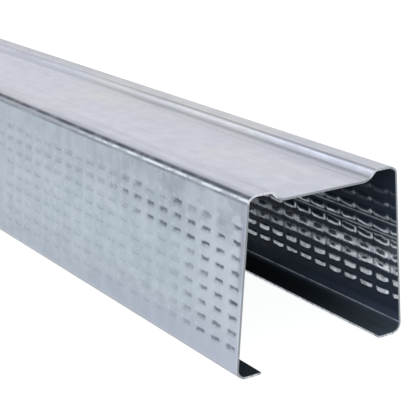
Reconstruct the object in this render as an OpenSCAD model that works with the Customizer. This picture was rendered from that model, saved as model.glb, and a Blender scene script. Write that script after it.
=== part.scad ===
// Drywall metal stud: a C-section rolled from one strip of thin galvanised sheet.
// The web lies on top with a wide sunken middle between two raised shoulders. The two flanges
// hang from it, splayed a little outwards, and end in lips that turn inwards along the bottom.
// Millimetres. X runs along the stud, Y across it, Z up. The lips lie on Z = 0.

/* [Overall] */
// length of the stock
length = 2400; // [600:50:6000]
// web over its two outer corners
web_w = 48.8; // [40:0.2:150]
// height of the corner line over the underside of the lips
flange_h = 47.8; // [30:0.2:60]
// thickness of the sheet
sheet_t = 0.6; // [0.5:0.05:1]

/* [Flanges and lips] */
// angle of each flange outwards from upright, degrees
splay = 4.5; // [0:0.5:6]
// width of a lip from the outer corner at the foot of the flange to its free edge
lip_w = 8; // [6:0.5:12]
// inside radius of the bend between flange and lip
lip_r = 2.4; // [0.6:0.1:3]

/* [Web] */
// inside radius of the bend between web and flange
corner_r = 0.8; // [0.4:0.1:1.2]
// height of the shoulders over the corner line
shoulder_h = 1.3; // [1:0.1:2]
// width over which the line of a shoulder climbs from the corner to its full height
shoulder_climb = 1.8; // [1.6:0.1:6]
// inside radius that rounds a shoulder over from that climb to its top
crown_r = 3; // [1:0.2:4]
// width of the top of a shoulder, from the end of the climb to the slope
shoulder_top = 5.7; // [4:0.1:8]
// width of the slope from a shoulder down to the sunken middle
slope_w = 2.6; // [2:0.1:5]
// depth of the sunken middle under the top of the shoulders
recess_d = 2.5; // [1.5:0.1:4]
// inside radius of the bend from the top of a shoulder into the slope
crest_r = 1.2; // [0.6:0.1:3]
// inside radius of the wider bend at the foot of the slope
foot_r = 4; // [0.6:0.2:6]

/* [Hidden] */
// the outer face of one half, from the free edge of the lip to the middle of the web:
// each corner is [distance from the middle, height, inside radius of the bend]
foot_y = web_w / 2 + flange_h * tan(splay);
shoulder_z = flange_h + shoulder_h;
floor_z = shoulder_z - recess_d;
climb_y = web_w / 2 - shoulder_climb;
top_y = climb_y - shoulder_top;
slope_y = top_y - slope_w;
corners = [
    [foot_y - lip_w, 0, 0],
    [foot_y, 0, lip_r],
    [web_w / 2, flange_h, corner_r],
    [climb_y, shoulder_z, crown_r],
    [top_y, shoulder_z, crest_r],
    [slope_y, floor_z, foot_r],
    [0, floor_z, 0],
];
bends = [1 : len(corners) - 2];
// largest angle that one flat facet of a bend turns through
facet = 12;

function at(i) = [corners[i][0], corners[i][1]];
// direction of the run from corner i to the next one
function heading(i) = atan2(corners[i + 1][1] - corners[i][1], corners[i + 1][0] - corners[i][0]);
function along(a) = [cos(a), sin(a)];
function left_of(a) = [-sin(a), cos(a)];
// the sheet lies left of the outer face; a bend to the left has that face on its outside
function turn(i) = (heading(i) - heading(i - 1) + 540) % 360 - 180;
function side(i) = turn(i) > 0 ? 1 : -1;
function face_r(i) = corners[i][2] + (turn(i) > 0 ? sheet_t : 0);
function centre(i) =
    at(i)
    - face_r(i) * tan(abs(turn(i)) / 2) * along(heading(i - 1))
    + side(i) * face_r(i) * left_of(heading(i - 1));
// points of the bend at corner i, on the outer face (depth 0) or the inner one (depth sheet_t)
function bend(i, depth) =
    let (n = ceil(abs(turn(i)) / facet))
    [for (k = [0 : n])
        centre(i) + (depth - side(i) * face_r(i)) * left_of(heading(i - 1) + turn(i) * k / n)];
function half_face(depth) =
    concat(
        [at(0) + depth * left_of(heading(0))],
        [for (i = bends) each bend(i, depth)]
    );
function backwards(v) = [for (i = [len(v) - 1 : -1 : 0]) v[i]];
function mirrored(v) = [for (p = v) [-p[0], p[1]]];

module section() {
    polygon(concat(
        half_face(0),
        backwards(mirrored(half_face(0))),
        mirrored(half_face(sheet_t)),
        backwards(half_face(sheet_t))
    ));
}

module stud() {
    color([0.72, 0.75, 0.79])
        rotate([90, 0, 90])
            translate([0, 0, -length / 2])
                linear_extrude(height = length)
                    section();
}

stud();
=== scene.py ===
import math
from collections import namedtuple
import bpy
import numpy as np
from mathutils import Matrix, Vector


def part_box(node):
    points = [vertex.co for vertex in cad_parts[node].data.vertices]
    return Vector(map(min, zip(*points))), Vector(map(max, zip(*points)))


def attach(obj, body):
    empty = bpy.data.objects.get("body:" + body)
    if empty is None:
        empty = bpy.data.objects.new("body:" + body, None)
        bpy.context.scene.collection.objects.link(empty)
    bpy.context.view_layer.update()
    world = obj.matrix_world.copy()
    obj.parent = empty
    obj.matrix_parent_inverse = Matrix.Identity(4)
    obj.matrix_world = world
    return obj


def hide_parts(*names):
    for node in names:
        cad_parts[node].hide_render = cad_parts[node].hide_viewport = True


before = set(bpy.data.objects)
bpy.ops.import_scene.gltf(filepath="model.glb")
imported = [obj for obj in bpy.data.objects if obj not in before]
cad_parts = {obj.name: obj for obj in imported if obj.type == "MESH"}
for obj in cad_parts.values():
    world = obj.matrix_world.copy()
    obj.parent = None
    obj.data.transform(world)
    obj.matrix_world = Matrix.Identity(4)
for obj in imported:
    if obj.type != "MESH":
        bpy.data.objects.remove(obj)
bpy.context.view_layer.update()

MM = 0.001
low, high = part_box("stud")
LENGTH = high.x - low.x
NEAR = high.x                    # the end that faces the camera
TOP = high.z

# ---------------------------------------------------------------- section
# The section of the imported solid, in metres: (distance from the middle, height, inside bend radius).
SHEET = 0.6 * MM
WEB = 48.8 * MM
FLANGE = 47.8 * MM
SPLAY = math.radians(4.5)
LIP, LIP_R = 8.0 * MM, 2.4 * MM
CORNER_R = 0.8 * MM
SHOULDER_H, CLIMB, CROWN_R = 1.3 * MM, 1.8 * MM, 3.0 * MM
CREST, CREST_R = 5.7 * MM, 1.2 * MM
SLOPE, RECESS, FOOT_R = 2.6 * MM, 2.5 * MM, 4.0 * MM
FOOT_Y = WEB / 2 + FLANGE * math.tan(SPLAY)
CLIMB_Y = WEB / 2 - CLIMB
CREST_Y = CLIMB_Y - CREST
SHOULDER_Z = FLANGE + SHOULDER_H
CORNERS = [
    (FOOT_Y - LIP, 0.0, 0.0),
    (FOOT_Y, 0.0, LIP_R),
    (WEB / 2, FLANGE, CORNER_R),
    (CLIMB_Y, SHOULDER_Z, CROWN_R),
    (CREST_Y, SHOULDER_Z, CREST_R),
    (CREST_Y - SLOPE, SHOULDER_Z - RECESS, FOOT_R),
    (0.0, SHOULDER_Z - RECESS, 0.0),
]
LIP_BEND, WEB_BEND = 1, 2        # their numbers in CORNERS
ARC_STEP = math.radians(7)       # the largest angle between two points of a bend

Row = namedtuple("Row", "outer inner normal corner")


def section_points():
    """Half section as rows, from the lip's free edge to the middle of the web."""
    rows = []
    heads = [math.atan2(b[1] - a[1], b[0] - a[0]) for a, b in zip(CORNERS, CORNERS[1:])]

    def put(p, angle, corner):
        left = np.array((-math.sin(angle), math.cos(angle)))
        rows.append(Row(np.array(p, float), np.array(p, float) + SHEET * left, -left, corner))

    put(CORNERS[0][:2], heads[0], 0)
    for i in range(1, len(CORNERS) - 1):
        turn = (heads[i] - heads[i - 1] + 3 * math.pi) % (2 * math.pi) - math.pi
        side = 1 if turn > 0 else -1
        radius = CORNERS[i][2] + (SHEET if turn > 0 else 0.0)
        along = np.array((math.cos(heads[i - 1]), math.sin(heads[i - 1])))
        left = np.array((-along[1], along[0]))
        centre = np.array(CORNERS[i][:2]) - radius * math.tan(abs(turn) / 2) * along + side * radius * left
        count = max(2, math.ceil(abs(turn) / ARC_STEP))
        for k in range(count + 1):
            a = heads[i - 1] + turn * k / count
            n = np.array((-math.sin(a), math.cos(a)))
            put(centre - side * radius * n, a, i)
    put(CORNERS[-1][:2], heads[-1], len(CORNERS) - 1)
    return rows


def rows_of(corner):
    return [i for i, row in enumerate(HALF) if row.corner == corner]


HALF = section_points()
FLANGE_START = rows_of(LIP_BEND)[-1]      # the flange's flat run goes from here
FLANGE_END = rows_of(WEB_BEND)[0]         # to here, and the corner's bend
WEB_START = rows_of(WEB_BEND)[-1]         # from there to here

# ---------------------------------------------------------------- knurling
# Dents pressed into the flanges from outside. Keys -1 and 1 are the left and the right flange.
ROWS = 9
ROW_0 = {-1: 7.85 * MM, 1: 6.9 * MM}          # the top row, down the flange from the corner line
ROW_STEP = {-1: 3.99 * MM, 1: 3.8 * MM}
COLUMN_STEP = 6.98 * MM
FIRST_COLUMN = {-1: 3.6 * MM, 1: 6.6 * MM}    # from the near end
DENT_L = (1.7 * MM, 2.6 * MM)                 # half sizes of a dent's floor and of its rim, along the stud
DENT_H = {False: (0.25 * MM, 1.2 * MM), True: (0.6 * MM, 1.25 * MM)}   # and across it, outside and inside
DENT_DEPTH, BUMP_HEIGHT = 0.22 * MM, 0.42 * MM                 # outside and inside
END_FADE = 0.9 * MM                           # the dents flatten out over this length at both ends
END_GAP = 0.3 * MM                            # between the last dent's rim and the far end
FINE_COLUMNS = 20                             # columns by the near end that get the finer grid
FINE_GAP = 0.15 * MM                          # from the near end to the grid's next line
SLOPE_STEP = 0.02 * MM                        # over which a dent's slope is measured


def smooth(t):
    t = min(1.0, max(0.0, t))
    return t * t * (3 - 2 * t)


def dent(x, h, side, inner):
    """How far the sheet is pressed in, 0 to 1, at x from the near end and h down the flange."""
    k = round((x - FIRST_COLUMN[side]) / COLUMN_STEP)
    r = min(ROWS - 1, max(0, round((h - ROW_0[side]) / ROW_STEP[side])))
    dx = abs(x - FIRST_COLUMN[side] - k * COLUMN_STEP)
    dh = abs(h - ROW_0[side] - r * ROW_STEP[side])
    wide = smooth((DENT_L[1] - dx) / (DENT_L[1] - DENT_L[0]))
    floor, rim = DENT_H[inner]
    tall = smooth((rim - dh) / (rim - floor))
    return wide * tall * smooth(x / END_FADE) * smooth((LENGTH - x) / END_FADE)


# ---------------------------------------------------------------- mesh
OUTER, INNER, EDGE = 0, 1, 2     # material slots: the two skins of the sheet, and its cut edges
SAME_PLACE = 1e-7                # vertices are welded on a grid of this step
# the cross lines of the plain runs, from the near end
STATIONS = [0.025 * k for k in range(8)] + [0.3, 0.5, 0.8, 1.2, 1.6, 2.0, LENGTH]


class Mesh:
    """The sheet's vertices and faces. zone is 1 on lips and flanges, 0 on the web."""

    def __init__(self):
        self.co, self.zone = [], []
        self.faces, self.normals, self.mats = [], [], []
        self.skin_normal = {}

    def vert(self, p, normal, zone):
        self.co.append(tuple(p))
        self.zone.append(zone)
        self.skin_normal[len(self.co) - 1] = normal
        return len(self.co) - 1

    def face(self, ids, normals, mat):
        """Adds a face turned so that it looks along its normals."""
        if len(set(ids)) < 3:
            return
        pts = [Vector(self.co[i]) for i in ids]
        n = (pts[1] - pts[0]).cross(pts[2] - pts[0])
        if len(ids) > 3:
            n += (pts[2] - pts[0]).cross(pts[3] - pts[0])
        if n.dot(Vector(normals[0])) < 0:
            ids, normals = ids[::-1], normals[::-1]
        self.faces.append(tuple(ids))
        self.normals.append([tuple(x) for x in normals])
        self.mats.append(mat)

    def skin(self, ids, mat):
        self.face(list(ids), [self.skin_normal[i] for i in ids], mat)

    def edge(self, outer, inner, normal):
        """A cut edge of the sheet, between chains of vertices on its two skins."""
        for a, b, c, d in zip(outer, outer[1:], inner[1:], inner):
            self.face([a, b, c, d], [normal] * 4, EDGE)

    def quads(self, a, b, mat):
        for (_, p), (_, q), (_, r), (_, s) in zip(a, a[1:], b[1:], b):
            self.skin((p, q, r, s), mat)

    def stitch(self, a, b, mat):
        """Triangles between two chains of (position, vertex), each in order."""
        i = j = 0
        while i < len(a) - 1 or j < len(b) - 1:
            if j == len(b) - 1 or (i < len(a) - 1 and a[i + 1][0] <= b[j + 1][0]):
                self.skin((a[i][1], a[i + 1][1], b[j][1]), mat)
                i += 1
            else:
                self.skin((a[i][1], b[j + 1][1], b[j][1]), mat)
                j += 1

    def weld(self):
        """Joins vertices that share a place, such as those of the two halves on the middle line."""
        seen, remap = {}, []
        co, zone = [], []
        for p, z in zip(self.co, self.zone):
            key = tuple(round(c / SAME_PLACE) for c in p)
            if key not in seen:
                seen[key] = len(co)
                co.append(p)
                zone.append(z)
            remap.append(seen[key])
        self.co, self.zone = co, zone
        self.faces = [tuple(remap[i] for i in f) for f in self.faces]


mesh = Mesh()


def plain_chain(side, number, inner):
    """Vertices along the stud at one row of the section, as (x from the near end, vertex)."""
    row = HALF[number]
    p = row.inner if inner else row.outer
    n = -row.normal if inner else row.normal
    normal = Vector((0, side * n[0], n[1]))
    zone = 1.0 - min(1.0, max(0.0, (number - FLANGE_END) / (WEB_START - FLANGE_END)))
    return [(x, mesh.vert((NEAR - x, side * p[0], p[1]), normal, zone)) for x in STATIONS]


def knurled(side, inner, mat):
    """The flange's knurled field. Returns its upper and lower boundary chains and its two ends, top down."""
    down = Vector((0, side * math.sin(SPLAY), -math.cos(SPLAY)))
    out = Vector((0, side * math.cos(SPLAY), math.sin(SPLAY)))
    corner = Vector((NEAR, side * WEB / 2, FLANGE))
    face, depth, turn = (-SHEET, BUMP_HEIGHT, -1) if inner else (0.0, DENT_DEPTH, 1)

    def vert(x, h):
        p = corner + Vector((-x, 0, 0)) + down * h + out * (face - depth * dent(x, h, side, inner))
        e = SLOPE_STEP
        sx = depth * (dent(x + e, h, side, inner) - dent(x - e, h, side, inner)) / (2 * e)
        sh = depth * (dent(x, h + e, side, inner) - dent(x, h - e, side, inner)) / (2 * e)
        n = out + sh * down + sx * Vector((-1, 0, 0))
        return mesh.vert(p, (turn * n).normalized(), 1.0)

    first, (floor_l, rim_l), (floor_h, rim_h) = FIRST_COLUMN[side], DENT_L, DENT_H[inner]
    row_h = [ROW_0[side] + r * ROW_STEP[side] for r in range(ROWS)]
    mid_l, mid_h = (floor_l + rim_l) / 2, (floor_h + rim_h) / 2
    fine_h = [h + o for h in row_h for o in (-rim_h, -mid_h, -floor_h, floor_h, mid_h, rim_h)]
    coarse_h = [h + o for h in row_h for o in (-rim_h, rim_h)]

    # a full grid by the near end
    fine_x = [first + k * COLUMN_STEP + o for k in range(-1, FINE_COLUMNS)
              for o in (-rim_l, -mid_l, -floor_l, floor_l, mid_l, rim_l)]
    fine_x = [0.0] + [x for x in fine_x if x > FINE_GAP]
    grid = [[vert(x, h) for h in fine_h] for x in fine_x]
    for a, b in zip(grid, grid[1:]):
        for j in range(len(fine_h) - 1):
            mesh.skin((a[j], a[j + 1], b[j + 1], b[j]), mat)
    top = [(x, col[0]) for x, col in zip(fine_x, grid)]
    bottom = [(x, col[-1]) for x, col in zip(fine_x, grid)]
    last = list(zip(fine_h, grid[-1]))

    # beyond it each dent is a rim of four points around a floor line of two
    for k in range(FINE_COLUMNS, math.ceil(LENGTH / COLUMN_STEP)):
        c = first + k * COLUMN_STEP
        if c + rim_l >= LENGTH - END_GAP:
            break
        left = [(h, vert(c - rim_l, h)) for h in coarse_h]
        right = [(h, vert(c + rim_l, h)) for h in coarse_h]
        mesh.stitch(last, left, mat)
        for r, h in enumerate(row_h):
            p, q = vert(c - floor_l, h), vert(c + floor_l, h)
            a, b, s, t = left[2 * r][1], left[2 * r + 1][1], right[2 * r + 1][1], right[2 * r][1]
            mesh.skin((a, t, q, p), mat)
            mesh.skin((b, p, q, s), mat)
            mesh.skin((a, p, b), mat)
            mesh.skin((t, s, q), mat)
            if r < ROWS - 1:
                mesh.skin((b, s, right[2 * r + 2][1], left[2 * r + 2][1]), mat)
        top += [(c - rim_l, left[0][1]), (c + rim_l, right[0][1])]
        bottom += [(c - rim_l, left[-1][1]), (c + rim_l, right[-1][1])]
        last = right
    end = [(h, vert(LENGTH, h)) for h in coarse_h]
    mesh.stitch(last, end, mat)
    top.append((LENGTH, end[0][1]))
    bottom.append((LENGTH, end[-1][1]))
    return top, bottom, grid[0], [i for _, i in end]


def half_skin(side, inner, mat):
    """One skin of one half. Returns the vertices along its near end, its far end and its lip's free edge."""
    chains = [plain_chain(side, i, inner) for i in range(len(HALF))]
    near, far = [], []
    for i, chain in enumerate(chains):
        near.append(chain[0][1])
        far.append(chain[-1][1])
        if i == FLANGE_START:
            top, bottom, near_field, far_field = knurled(side, inner, mat)
            mesh.stitch(bottom, chain, mat)
            mesh.stitch(top, chains[i + 1], mat)
            near += near_field[::-1]
            far += far_field[::-1]
        elif i < len(chains) - 1:
            mesh.quads(chain, chains[i + 1], mat)
    return near, far, [i for _, i in chains[0]]


for side in (-1, 1):
    outer_edges = half_skin(side, False, OUTER)
    inner_edges = half_skin(side, True, INNER)
    for outer, inner, normal in zip(outer_edges, inner_edges, ((1, 0, 0), (-1, 0, 0), (0, -side, 0))):
        mesh.edge(outer, inner, normal)
mesh.weld()
print("triangles", sum(len(f) - 2 for f in mesh.faces), "vertices", len(mesh.co))

data = bpy.data.meshes.new("stud_sheet")
data.from_pydata(mesh.co, [], mesh.faces)
data.polygons.foreach_set("use_smooth", [True] * len(mesh.faces))
data.polygons.foreach_set("material_index", mesh.mats)
data.attributes.new("zone", "FLOAT", "POINT").data.foreach_set("value", mesh.zone)
data.normals_split_custom_set([n for f in mesh.normals for n in f])
data.validate()
stud = bpy.data.objects.new("stud_sheet", data)
bpy.context.scene.collection.objects.link(stud)


# ---------------------------------------------------------------- materials
class Nodes:
    """Short calls for building a node tree. A value is a plain number, a colour or a socket."""

    def __init__(self, tree):
        self.tree = tree
        tree.nodes.clear()

    def new(self, kind, **settings):
        node = self.tree.nodes.new(kind)
        for key, value in settings.items():
            setattr(node, key, value)
        return node

    def link(self, a, b):
        self.tree.links.new(a, b)

    def put(self, socket, value):
        if isinstance(value, bpy.types.NodeSocket):
            self.link(value, socket)
        else:
            socket.default_value = value

    def math(self, op, *values, clamp=False):
        node = self.new("ShaderNodeMath", operation=op, use_clamp=clamp)
        for socket, value in zip(node.inputs, values):
            self.put(socket, value)
        return node.outputs[0]

    def fold(self, op, values):
        result = values[0]
        for value in values[1:]:
            result = self.math(op, result, value)
        return result

    def times(self, *values):
        return self.fold("MULTIPLY", values)

    def plus(self, *values):
        return self.fold("ADD", values)

    def most(self, *values):
        return self.fold("MAXIMUM", values)

    def minus(self, a, b):
        return self.math("SUBTRACT", a, b)

    def over(self, a, b):
        return self.math("DIVIDE", a, b)

    def size(self, a):
        return self.math("ABSOLUTE", a)

    def ramp(self, value, low_in, high_in, low_out=0.0, high_out=1.0):
        """A smooth step from low_out at low_in to high_out at high_in."""
        node = self.new("ShaderNodeMapRange", interpolation_type="SMOOTHSTEP")
        for socket, v in zip(node.inputs, (value, low_in, high_in, low_out, high_out)):
            self.put(socket, v)
        return node.outputs[0]

    def between(self, value, low, high, soft):
        """1 from low to high, with soft ends. The three bounds are plain numbers."""
        rise, fall = self.ramp(value, low - soft, low + soft), self.ramp(value, high + soft, high - soft)
        return self.times(rise, fall)

    def mix(self, factor, a, b):
        node = self.new("ShaderNodeMix", data_type="RGBA")
        for number, value in ((0, factor), (6, a), (7, b)):      # 6, 7 and output 2 are the colour ones
            self.put(node.inputs[number], value)
        return node.outputs[2]

    def noise(self, vector, scale, detail, rough, stretch=(1, 1, 1)):
        mapping = self.new("ShaderNodeMapping")
        mapping.inputs["Scale"].default_value = stretch
        self.link(vector, mapping.inputs["Vector"])
        node = self.new("ShaderNodeTexNoise")
        self.link(mapping.outputs[0], node.inputs["Vector"])
        node.inputs["Scale"].default_value = scale
        node.inputs["Detail"].default_value = detail
        node.inputs["Roughness"].default_value = rough
        return node.outputs["Fac"]

    def bump(self, shader, height, strength, distance):
        node = self.new("ShaderNodeBump")
        node.inputs["Strength"].default_value = strength
        node.inputs["Distance"].default_value = distance
        self.put(node.inputs["Height"], height)
        self.link(node.outputs[0], shader.inputs["Normal"])


def material(name):
    """A new material, its nodes, its shader and the object's own coordinates."""
    mat = bpy.data.materials.new(name)
    mat.use_nodes = True
    n = Nodes(mat.node_tree)
    out = n.new("ShaderNodeOutputMaterial")
    shader = n.new("ShaderNodeBsdfPrincipled")
    n.link(shader.outputs[0], out.inputs["Surface"])
    return mat, n, shader, n.new("ShaderNodeTexCoord").outputs["Object"]


class Place:
    """Where a point lies on the stud. y and z are in metres, all other lengths in millimetres:
    x from the near end, h down the flange from the corner line, inward from that line across the web,
    dx and dh from the middle of the nearest dent, which is the one in row and column. right is 1 on the
    right half, far rises to 1 away from the near end, field is 1 within the knurled rows, and chance is
    a fixed random number for each dent."""

    def __init__(self, n, place):
        axes = n.new("ShaderNodeSeparateXYZ")
        n.link(place, axes.inputs[0])
        self.y, self.z = axes.outputs[1], axes.outputs[2]
        self.x = n.over(n.minus(NEAR, axes.outputs[0]), MM)
        self.h = n.over(n.minus(FLANGE, self.z), MM * math.cos(SPLAY))
        self.inward = n.over(n.minus(WEB / 2, n.size(self.y)), MM)
        self.right = n.math("GREATER_THAN", self.y, 0.0)
        self.far = n.ramp(self.x, 60.0, 200.0)

        def by_side(table):
            return n.plus(table[-1] / MM, n.times(self.right, (table[1] - table[-1]) / MM))

        columns = n.over(n.minus(self.x, by_side(FIRST_COLUMN)), COLUMN_STEP / MM)
        rows = n.over(n.minus(self.h, by_side(ROW_0)), by_side(ROW_STEP))
        self.row, self.column = n.math("ROUND", rows), n.math("ROUND", columns)
        self.dx = n.times(n.minus(columns, self.column), COLUMN_STEP / MM)
        self.dh = n.times(n.minus(rows, self.row), ROW_STEP[-1] / MM)
        self.field = n.between(rows, -0.45, ROWS - 0.55, 0.04)
        cell = n.new("ShaderNodeCombineXYZ")
        n.link(self.row, cell.inputs[0])
        n.link(self.column, cell.inputs[1])
        chance = n.new("ShaderNodeTexWhiteNoise", noise_dimensions="2D")
        n.link(cell.outputs[0], chance.inputs["Vector"])
        self.chance = chance.outputs["Value"]


# colours of the outer skin, among them painted shade and painted highlights
WEB_DEEP, WEB_PALE = (0.487, 0.506, 0.59, 1), (0.527, 0.545, 0.628, 1)
WEB_STREAK, WEB_WARM = (0.45, 0.46, 0.53, 1), (0.58, 0.585, 0.56, 1)
WEB_LIT_STRIP, WEB_BAND_SHADE, WEB_SCUFF = (0.62, 0.635, 0.71, 1), (0.2, 0.205, 0.23, 1), (0.3, 0.31, 0.36, 1)
CLIMB_SHADE_LINE = (0.045, 0.058, 0.08, 1)
FLANGE_DEEP, FLANGE_PALE = (0.358, 0.414, 0.469, 1), (0.426, 0.486, 0.547, 1)
FLANGE_SHADE, FLANGE_NEAR_HIGHLIGHT = (0.15, 0.165, 0.20, 1), (0.56, 0.615, 0.68, 1)
FLANGE_VIOLET = (0.39, 0.415, 0.52, 1)
SMUDGE, FOOT_SHADE_LINE, DENT_SHADE = (0.19, 0.205, 0.25, 1), (0.09, 0.093, 0.115, 1), (0.075, 0.09, 0.115, 1)
DENT_HIGHLIGHT, TARNISH, SHEAR_HIGHLIGHT = (0.52, 0.57, 0.62, 1), (0.27, 0.27, 0.34, 1), (0.62, 0.68, 0.74, 1)
CORNER_SHADE_LINE, CORNER_FAR_SHADE, CORNER_GLINT = (0.16, 0.175, 0.21, 1), (0.22, 0.24, 0.28, 1), (0.73, 0.79, 0.84, 1)
# colours of the inner skin, which are painted shade and painted highlights, and of the cut edges
INNER_SHADE, INNER_SHADE_FOOT = (0.04, 0.056, 0.092, 1), (0.095, 0.13, 0.205, 1)
LIP_SHADE, LIP_SHADE_NEAR_RIGHT = (0.03, 0.041, 0.05, 1), (0.075, 0.097, 0.12, 1)
SHINE, INNER_TINT = (0.86, 0.9, 0.96, 1), (0.6, 0.78, 1.0, 1)
EDGE_DEEP, EDGE_PALE, EDGE_HIGHLIGHT = (0.20, 0.215, 0.24, 1), (0.36, 0.375, 0.405, 1), (0.72, 0.74, 0.78, 1)

# noises: scale, detail, roughness, and stretch along the stud, across it and up
CLOUDS, SPOTS = (60.0, 4.0, 0.55, (0.35, 1, 1)), (210.0, 2.5, 0.5, (0.8, 1, 1))
UPRIGHT, STREAKS = (300.0, 3.0, 0.55, (1, 0.15, 0.15)), (260.0, 3.0, 0.5, (0.03, 1, 1))
WARMTH, SCUFFS = (34.0, 2.0, 0.5, (0.5, 1, 1)), (620.0, 3.0, 0.6, (0.035, 1, 1))
BLOTCHES, DRIFT, SMUDGES = (160.0, 3.0, 0.6), (110.0, 3.0, 0.5), (150.0, 4.0, 0.65)
RAGGED, DENT_SHADE_GRAIN = (520.0, 2.0, 0.6), (700.0, 2.0, 0.5)
WEAR, SPARKLE = (260.0, 4.0, 0.7, (0.5, 1, 1)), (380.0, 4.0, 0.65, (0.6, 1, 1))
ZINC_GRAIN, BEADS = (1400.0, 2.0, 0.5), (420.0, 2.0, 0.6)
PATCHES, WOBBLE = (300.0, 3.0, 0.6), (330.0, 2.0, 0.5)
TORN, BROKEN = (620.0, 2.0, 0.6), (420.0, 3.0, 0.6)
SHEAR_GRAIN = (1500.0, 3.0, 0.6, (1, 1, 0.3))

# bands across the web, in millimetres inward from the corner line: from, to, softness
CREST_BAND, OUTER_CREST_BAND = (1.6, 6.4, 1.0), (1.0, 3.6, 1.0)
BEND_BAND, FOOT_BAND, LIT_STRIP_BAND = (6.9, 7.65, 0.3), (8.65, 9.9, 0.3), (10.8, 13.5, 0.9)
CLIMB_SHADE_BAND, CLIMB_SHADE_WIDE = (0.35, 1.3, 0.4), (0.2, 1.3, 0.4)
SCUFFED = (11.5, 9.5)            # the scuffs thin out from the second to the first
# down the flange from that line, and on the corner's bend from web 0 to flange 1
LINE_BAND, BEAD_BAND = (0.5, 1.2, 0.3), (-0.6, 0.9, 0.3)
FAR_SHADE_BEND, GLINT_BEND = (0.3, 0.9, 0.15), (0.3, 0.85, 0.15)


def web_colour(n, place, at, clouds):
    """Pale and milky, with faint rolling lines and a warmer tint here and there."""
    streaks, warm = n.noise(place, *STREAKS), n.noise(place, *WARMTH)
    colour = n.mix(n.ramp(clouds, 0.35, 0.65), WEB_DEEP, WEB_PALE)
    colour = n.mix(n.ramp(streaks, 0.48, 0.72, 0.0, 0.4), colour, WEB_STREAK)
    colour = n.mix(n.ramp(warm, 0.52, 0.7, 0.0, 0.5), colour, WEB_WARM)
    # painted light: a paler strip beside the right slope, on that half only
    strip = n.times(n.between(at.inward, *LIT_STRIP_BAND), n.times(at.right, 0.6))
    colour = n.mix(strip, colour, WEB_LIT_STRIP)
    # painted shade: the raised shoulders are darker than the sunken middle, and so are the slope's bend and
    # its foot
    crest = n.times(n.between(at.inward, *CREST_BAND),
                    n.plus(0.05, n.times(at.right, n.plus(0.15, n.times(at.far, 0.13)))))
    outer_crest = n.times(n.between(at.inward, *OUTER_CREST_BAND), n.times(at.far, 0.45))
    bend = n.times(n.between(at.inward, *BEND_BAND), n.plus(0.2, n.times(at.right, 0.3)),
                   n.minus(1.0, n.times(at.far, 0.6)))
    foot = n.times(n.between(at.inward, *FOOT_BAND), n.minus(0.42, n.times(at.far, 0.25)))
    colour = n.mix(n.most(crest, outer_crest, bend, foot), colour, WEB_BAND_SHADE)
    # scuffs along the shoulders and their slopes
    scuffs = n.times(n.ramp(n.noise(place, *SCUFFS), 0.48, 0.66, 0.0, 0.42),
                     n.ramp(at.inward, *SCUFFED, 0.25, 1.0))
    colour = n.mix(scuffs, colour, WEB_SCUFF)
    # painted shade: a dark line where the web starts to climb from the bend, wider away from the near end
    climb_shade = n.most(n.between(n.minus(at.inward, n.times(at.far, 0.3)), *CLIMB_SHADE_WIDE),
                    n.between(at.inward, *CLIMB_SHADE_BAND))
    climb_shade = n.times(climb_shade, n.ramp(n.noise(place, *BLOTCHES), 0.3, 0.6, 0.7, 1.0),
                     n.ramp(at.x, 10.0, 60.0, 0.9, 1.0))
    return n.mix(climb_shade, colour, CLIMB_SHADE_LINE)


def shade_in_dents(n, place, at):
    """0 to 1: painted shade in the dents, thickest by the near end and in the upper rows."""
    reach = n.ramp(at.row, 1.4, 3.0, 58.0, 21.0)
    tail = n.ramp(at.row, 1.0, 3.2, 0.26, 0.05)
    amount = n.math("ADD", n.ramp(n.minus(at.x, reach), 17.0, -12.0), tail, clamp=True)
    ragged = n.times(n.minus(n.noise(place, *RAGGED), 0.5), 1.4)
    dx, dh = n.plus(at.dx, n.times(ragged, 1.5)), n.plus(at.dh, ragged)
    amount = n.times(amount, n.between(dx, -2.0, 1.7, 0.5), n.between(dh, -0.6, 0.42, 0.35), at.field)
    even = n.ramp(at.row, 0.1, 0.9, 0.0, 0.72)
    uneven = n.times(at.chance, n.ramp(at.row, 0.1, 0.9, 0.95, 0.3))
    amount = n.math("MULTIPLY", amount, n.plus(even, uneven), clamp=True)
    return n.times(amount, n.ramp(n.noise(place, *DENT_SHADE_GRAIN), 0.25, 0.55, 0.6, 1.0))


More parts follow.
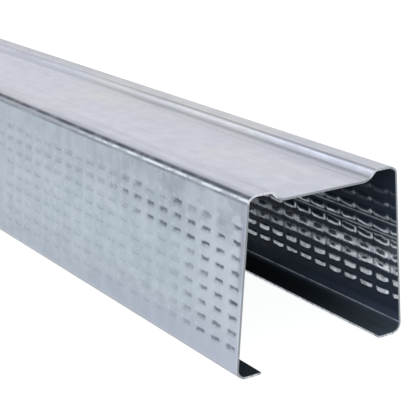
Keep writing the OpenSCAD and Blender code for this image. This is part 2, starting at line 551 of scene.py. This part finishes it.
def flange_colour(n, place, at, spots, upright):
    """Cool grey and cloudy, a little darker towards both of its bends."""
    mottle = n.plus(n.times(spots, 0.6), n.times(upright, 0.4))
    colour = n.mix(n.ramp(mottle, 0.38, 0.62), FLANGE_DEEP, FLANGE_PALE)
    shade = n.plus(n.ramp(at.h, 22.0, 3.0, 0.0, 0.14), n.ramp(at.h, 30.0, 44.0, 0.0, 0.14),
                   n.ramp(at.z, 2.6 * MM, 0.3 * MM, 0.0, 0.45))
    colour = n.mix(shade, colour, FLANGE_SHADE)
    # brighter by the near end, a painted highlight, and with a violet cast down by the foot
    colour = n.mix(n.ramp(at.x, 36.0, 6.0, 0.0, 0.34), colour, FLANGE_NEAR_HIGHLIGHT)
    cast = n.times(n.ramp(at.h, 35.0, 41.0, 0.0, 0.5), n.ramp(at.x, 90.0, 20.0, 0.3, 1.0))
    colour = n.mix(cast, colour, FLANGE_VIOLET)
    # smudges in the near corner, and painted shade in a dark line along the foot's bend, just over the floor
    smudge = n.times(n.ramp(n.noise(place, *SMUDGES), 0.44, 0.6, 0.0, 0.36), n.ramp(at.x, 85.0, 35.0),
                     n.ramp(at.h, 17.0, 8.0))
    colour = n.mix(smudge, colour, SMUDGE)
    colour = n.mix(n.ramp(at.z, 2.0 * MM, 1.0 * MM, 0.0, 0.9), colour, FOOT_SHADE_LINE)
    # painted shade in the dents
    colour = n.mix(shade_in_dents(n, place, at), colour, DENT_SHADE)
    # painted highlight: a paler spot beside each dent
    pale = n.times(n.between(at.dx, 1.2, 2.6, 0.7), n.between(at.dh, -1.9, -0.9, 0.5), at.field,
                   n.ramp(at.x, 20.0, 70.0, 0.5, 0.3))
    colour = n.mix(pale, colour, DENT_HIGHLIGHT)
    # the sheared end: a violet tarnish behind it and a painted highlight along it
    tarnish = n.times(n.ramp(at.x, 3.0, 1.0), n.ramp(at.h, 30.0, 20.0),
                      n.ramp(upright, 0.43, 0.57, 0.1, 0.75))
    colour = n.mix(tarnish, colour, TARNISH)
    shear = n.times(n.ramp(at.x, 0.6, 0.3), n.ramp(spots, 0.35, 0.6, 0.05, 0.4))
    return n.mix(shear, colour, SHEAR_HIGHLIGHT)


def corner_colour(n, place, at, flange, colour):
    """Painted shade in a line under the bend and on the bend away from the near end, and a broken painted
    glint on it near by.
    """
    line = n.times(n.between(at.h, *LINE_BAND), n.ramp(n.noise(place, *DRIFT), 0.3, 0.6, 0.3, 0.85),
                   n.ramp(at.inward, 0.8, 0.3))
    colour = n.mix(line, colour, CORNER_SHADE_LINE)
    # painted shade on the bend, growing away from the near end
    far_shade = n.times(n.between(flange, *FAR_SHADE_BEND), at.far,
                   n.ramp(n.noise(place, *WEAR), 0.4, 0.6, 0.5, 1.0))
    colour = n.mix(far_shade, colour, CORNER_FAR_SHADE)
    glint = n.times(n.between(flange, *GLINT_BEND), n.ramp(at.x, 105.0, 55.0),
                    n.ramp(n.noise(place, *SPARKLE), 0.4, 0.56, 0.25, 1.0))
    return n.mix(glint, colour, CORNER_GLINT)


def zinc_outer():
    mat, n, shader, place = material("galvanised_outer")
    flange = n.new("ShaderNodeAttribute", attribute_name="zone").outputs["Fac"]
    at = Place(n, place)
    clouds, spots, upright = (n.noise(place, *kind) for kind in (CLOUDS, SPOTS, UPRIGHT))
    colour = n.mix(flange, web_colour(n, place, at, clouds), flange_colour(n, place, at, spots, upright))
    n.put(shader.inputs["Base Color"], corner_colour(n, place, at, flange, colour))
    shader.inputs["Metallic"].default_value = 1.0
    rough = n.plus(n.ramp(clouds, 0.3, 0.7, 0.25, 0.3), n.ramp(spots, 0.3, 0.7, -0.02, 0.05))
    n.put(shader.inputs["Roughness"], rough)
    # relief: clouds, fainter on the web, with spots and a fine grain, and beads along the corner
    grain = n.noise(place, *ZINC_GRAIN)
    beads = n.times(n.noise(place, *BEADS), n.between(at.h, *BEAD_BAND), n.ramp(at.inward, 1.4, 0.8))
    height = n.plus(n.times(clouds, n.ramp(flange, 0.4, 0.6, 0.4, 1.0)), n.times(grain, 0.05),
                    n.times(spots, 0.12), n.times(beads, 1.2))
    n.bump(shader, height, 0.25, 0.4 * MM)
    return mat


def bump_highlights(n, place, at, dh):
    """0 to 1: painted highlights, the bright marks around the bumps of the inner skin. From the bottom up
    they are a bar on each bump of two rows, a patch with a dark middle on the next two, then an open box, a
    stroke, and only a knot between neighbours in the highest rows."""
    size = n.size(at.dx)

    def rows(first, last):
        return n.between(at.row, first - 0.5, last + 0.5, 0.1)

    def oval(half_l, half_h, middle, power):
        wide = n.math("POWER", n.over(size, half_l), power)
        tall = n.math("POWER", n.over(n.size(n.minus(dh, middle)), half_h), power)
        return n.ramp(n.plus(wide, tall), 1.4, 0.6)

    bars = n.times(oval(2.65, n.ramp(at.row, 7.2, 7.8, 0.88, 0.66), -0.1, 4.0), rows(7, 8), 0.88)
    core = oval(n.ramp(at.row, 5.2, 5.8, 1.9, 1.2), n.ramp(at.row, 5.2, 5.8, 0.65, 0.45), -0.3, 2.0)
    gap = n.times(n.ramp(size, 2.7, 3.3), n.ramp(at.row, 5.2, 5.8, 0.15, 0.5))
    torn = n.plus(dh, n.times(n.minus(n.noise(place, *TORN), 0.5), 1.6))
    patches = n.times(rows(5, 6), n.ramp(at.x, 60.0, 12.0, 0.65, 1.0), n.between(torn, -1.25, 1.05, 0.35),
                      n.minus(1.0, n.times(core, 0.85)), n.minus(1.0, gap))
    # the box is a stroke under the bump, one over it by the near end, and a hook that joins them
    tilted = n.plus(dh, n.times(at.dx, 0.055))
    under = n.times(rows(0, 4), n.between(at.dx, -3.2, 3.0, 0.3), n.between(tilted, 0.05, 0.75, 0.2),
                    n.ramp(at.row, 0.8, 3.0, 0.12, 0.95))
    above = n.times(rows(4, 4), n.ramp(at.x, 34.0, 20.0), n.between(at.dx, -3.3, 2.8, 0.3),
                    n.between(tilted, -1.4, -0.95, 0.2))
    hook = n.times(rows(4, 4), n.between(at.dx, -3.8, -2.6, 0.25), n.between(dh, -1.2, 0.7, 0.25))
    knot_side = 3.0              # a knot's distance along the stud from the bump before it
    knot = n.math("MINIMUM", n.size(n.plus(at.dx, knot_side)),
                  n.size(n.minus(at.dx, COLUMN_STEP / MM - knot_side)))
    knot = n.plus(n.times(knot, 0.8), n.size(n.minus(dh, 0.1)))
    knots = n.times(n.ramp(knot, 1.1, 0.35), rows(0, 3), n.ramp(at.row, 0.0, 2.0, 0.3, 0.95),
                    n.ramp(at.row, 2.2, 2.8, 1.0, 0.6))
    line = n.times(n.between(at.dh, 1.45, 1.9, 0.2), rows(2, 3), 0.6)
    marks = n.most(bars, patches, under, above, hook, knots, line)
    return n.times(marks, n.ramp(n.noise(place, *BROKEN), 0.32, 0.6, 0.65, 1.0), at.field)


def zinc_inner():
    mat, n, shader, place = material("galvanised_inner")
    at = Place(n, place)
    patch = n.noise(place, *PATCHES)
    dh = n.plus(at.dh, n.minus(n.noise(place, *WOBBLE), 0.5))
    # painted highlights besides the marks: a faint haze by the near end and a bright crease where the flange
    # bends to the lip
    near_highlight = n.times(n.ramp(at.x, 9.0, 0.0, 0.0, 0.14), n.between(at.h, 18.0, 27.0, 3.0))
    crease = n.times(n.between(at.h, 44.5, 45.0, 0.15), n.ramp(patch, 0.3, 0.6, 0.6, 0.95))
    shine = n.most(bump_highlights(n, place, at, dh), near_highlight, crease)
    # painted shade: the inner skin is near black for the channel's shade; towards the lip the sheet is a
    # shade less dark
    dark = n.mix(n.ramp(at.h, 41.0, 43.5), INNER_SHADE, INNER_SHADE_FOOT)
    near_right = n.times(n.ramp(at.x, 45.0, 10.0), at.right)
    dark = n.mix(n.ramp(at.h, 45.2, 46.2), dark, n.mix(near_right, LIP_SHADE, LIP_SHADE_NEAR_RIGHT))
    n.put(shader.inputs["Base Color"], n.mix(shine, dark, SHINE))
    n.put(shader.inputs["Metallic"], n.times(shine, n.ramp(dh, -0.9, -0.4, 0.15, 0.75)))
    shader.inputs["Specular IOR Level"].default_value = 0.08
    shader.inputs["Specular Tint"].default_value = INNER_TINT
    n.put(shader.inputs["Roughness"], n.ramp(patch, 0.3, 0.7, 0.32, 0.45))
    n.bump(shader, patch, 0.2, 0.3 * MM)
    return mat


def cut_edge():
    mat, n, shader, place = material("cut_edge")
    at = Place(n, place)
    grain = n.noise(place, *SHEAR_GRAIN)
    # painted highlight on the cut edge over the shoulders' bends, most on the left, and over the lips
    shoulders = n.times(n.ramp(at.z, 46.6 * MM, 47.4 * MM), n.ramp(grain, 0.3, 0.6, 0.4, 0.9),
                        n.ramp(at.y, 14.0 * MM, 20.0 * MM, 1.0, 0.25))
    lips = n.times(n.ramp(at.z, 1.2 * MM, 0.5 * MM), n.ramp(grain, 0.4, 0.55, 0.0, 0.7))
    colour = n.mix(n.most(shoulders, lips), n.mix(grain, EDGE_DEEP, EDGE_PALE), EDGE_HIGHLIGHT)
    n.put(shader.inputs["Base Color"], colour)
    shader.inputs["Metallic"].default_value = 1.0
    n.put(shader.inputs["Roughness"], n.ramp(grain, 0.3, 0.7, 0.35, 0.55))
    n.bump(shader, grain, 0.2, 0.1 * MM)
    return mat


for mat in (zinc_outer(), zinc_inner(), cut_edge()):      # in the order of OUTER, INNER, EDGE
    data.materials.append(mat)
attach(stud, "root")
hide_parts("stud")

# ---------------------------------------------------------------- floor
# A white ground: it glows to the camera and in reflections, and as a diffuse surface it is a dull grey.
FLOOR_HALF, FLOOR_Z = 60.0, -0.2 * MM
FLOOR_GLOW, FLOOR_GREY, FLOOR_TINT = 0.96, (0.2, 0.2, 0.2, 1), (0.985, 0.995, 1.0, 1)
floor_data = bpy.data.meshes.new("floor")
square = ((-1, -1), (1, -1), (1, 1), (-1, 1))
floor_data.from_pydata([(x * FLOOR_HALF, y * FLOOR_HALF, FLOOR_Z) for x, y in square], [], [(0, 1, 2, 3)])
floor = bpy.data.objects.new("floor", floor_data)
bpy.context.scene.collection.objects.link(floor)
floor_mat = bpy.data.materials.new("floor")
floor_mat.use_nodes = True
n = Nodes(floor_mat.node_tree)
out = n.new("ShaderNodeOutputMaterial")
add = n.new("ShaderNodeAddShader")
diffuse = n.new("ShaderNodeBsdfDiffuse")
diffuse.inputs["Color"].default_value = FLOOR_GREY
glow = n.new("ShaderNodeEmission")
glow.inputs["Color"].default_value = FLOOR_TINT
path = n.new("ShaderNodeLightPath")
seen = n.plus(path.outputs["Is Camera Ray"], path.outputs["Is Glossy Ray"])
seen = n.math("ADD", seen, path.outputs["Is Transmission Ray"], clamp=True)
n.put(glow.inputs["Strength"], n.times(seen, FLOOR_GLOW))
n.link(diffuse.outputs[0], add.inputs[0])
n.link(glow.outputs[0], add.inputs[1])
n.link(add.outputs[0], out.inputs["Surface"])
floor_data.materials.append(floor_mat)

# ---------------------------------------------------------------- light
# The room's brightness by the sine of the elevation: 0 is the horizon, 1 straight up.
ROOM = [(0.0, 0.8), (0.1, 0.88), (0.2, 0.98), (0.3, 1.2), (0.4, 1.1), (0.5, 0.92), (0.62, 0.78), (0.8, 0.6),
        (1.0, 0.62)]
ROOM_STRENGTH = 2.0              # the levels go above 1, so the ramp holds them divided by this
world = bpy.data.worlds.new("studio")
bpy.context.scene.world = world
world.use_nodes = True
n = Nodes(world.node_tree)
out = n.new("ShaderNodeOutputWorld")
back = n.new("ShaderNodeBackground")
way = n.new("ShaderNodeTexCoord").outputs["Generated"]
split = n.new("ShaderNodeSeparateXYZ")
n.link(way, split.inputs[0])
curve = n.new("ShaderNodeValToRGB")
curve.color_ramp.interpolation = "LINEAR"
while len(curve.color_ramp.elements) < len(ROOM):
    curve.color_ramp.elements.new(0.5)
for element, (height, level) in zip(curve.color_ramp.elements, ROOM):
    element.position = height
    element.color = (level / ROOM_STRENGTH,) * 3 + (1,)
n.link(split.outputs[2], curve.inputs[0])
n.link(curve.outputs[0], back.inputs["Color"])
back.inputs["Strength"].default_value = ROOM_STRENGTH
n.link(back.outputs[0], out.inputs["Surface"])

LAMP_DISTANCE = 3.0              # from the middle of the near end, for both lamps
end_point = Vector((NEAR, 0, TOP / 2))


def area(name, way, width, height, watts, colour=(1, 1, 1)):
    """A rectangular lamp in the direction way from the near end, aimed back at it."""
    lamp = bpy.data.lights.new(name, "AREA")
    lamp.shape = "RECTANGLE"
    lamp.size, lamp.size_y = width, height
    lamp.energy = watts
    lamp.color = colour
    obj = bpy.data.objects.new(name, lamp)
    bpy.context.scene.collection.objects.link(obj)
    obj.location = end_point + LAMP_DISTANCE * way
    obj.rotation_euler = (end_point - obj.location).to_track_quat("-Z", "Y").to_euler()


area("overhead", Vector((0, 0, 1)), 5.0, 5.0, 40)
area("side_softbox", Vector((-0.7255, -0.2785, 0.6293)).normalized(), 0.7, 0.85, 2.5, (0.93, 0.97, 1.0))

# ---------------------------------------------------------------- camera
PICTURE, FOCAL, SENSOR = 420, 1228.5, 36.0       # picture and focal length in picture units, sensor in mm
camera_data = bpy.data.cameras.new("camera")
camera_data.sensor_width = SENSOR
camera_data.lens = FOCAL / PICTURE * SENSOR
camera_data.clip_start, camera_data.clip_end = 0.01, 200.0
camera = bpy.data.objects.new("camera", camera_data)
bpy.context.scene.collection.objects.link(camera)
CAMERA_PLACE = Vector((NEAR + 0.23497, -0.19135, 0.13815))
CAMERA_WAY = Vector((-0.79357, 0.5262, -0.30555))
CAMERA_ROLL = math.radians(0.654)
camera.rotation_mode = "QUATERNION"
camera.location = CAMERA_PLACE
aim = CAMERA_WAY.to_track_quat("-Z", "Y")
camera.rotation_quaternion = aim @ Matrix.Rotation(-CAMERA_ROLL, 3, "Z").to_quaternion()
bpy.context.scene.camera = camera
bpy.context.scene.view_settings.view_transform = "Standard"
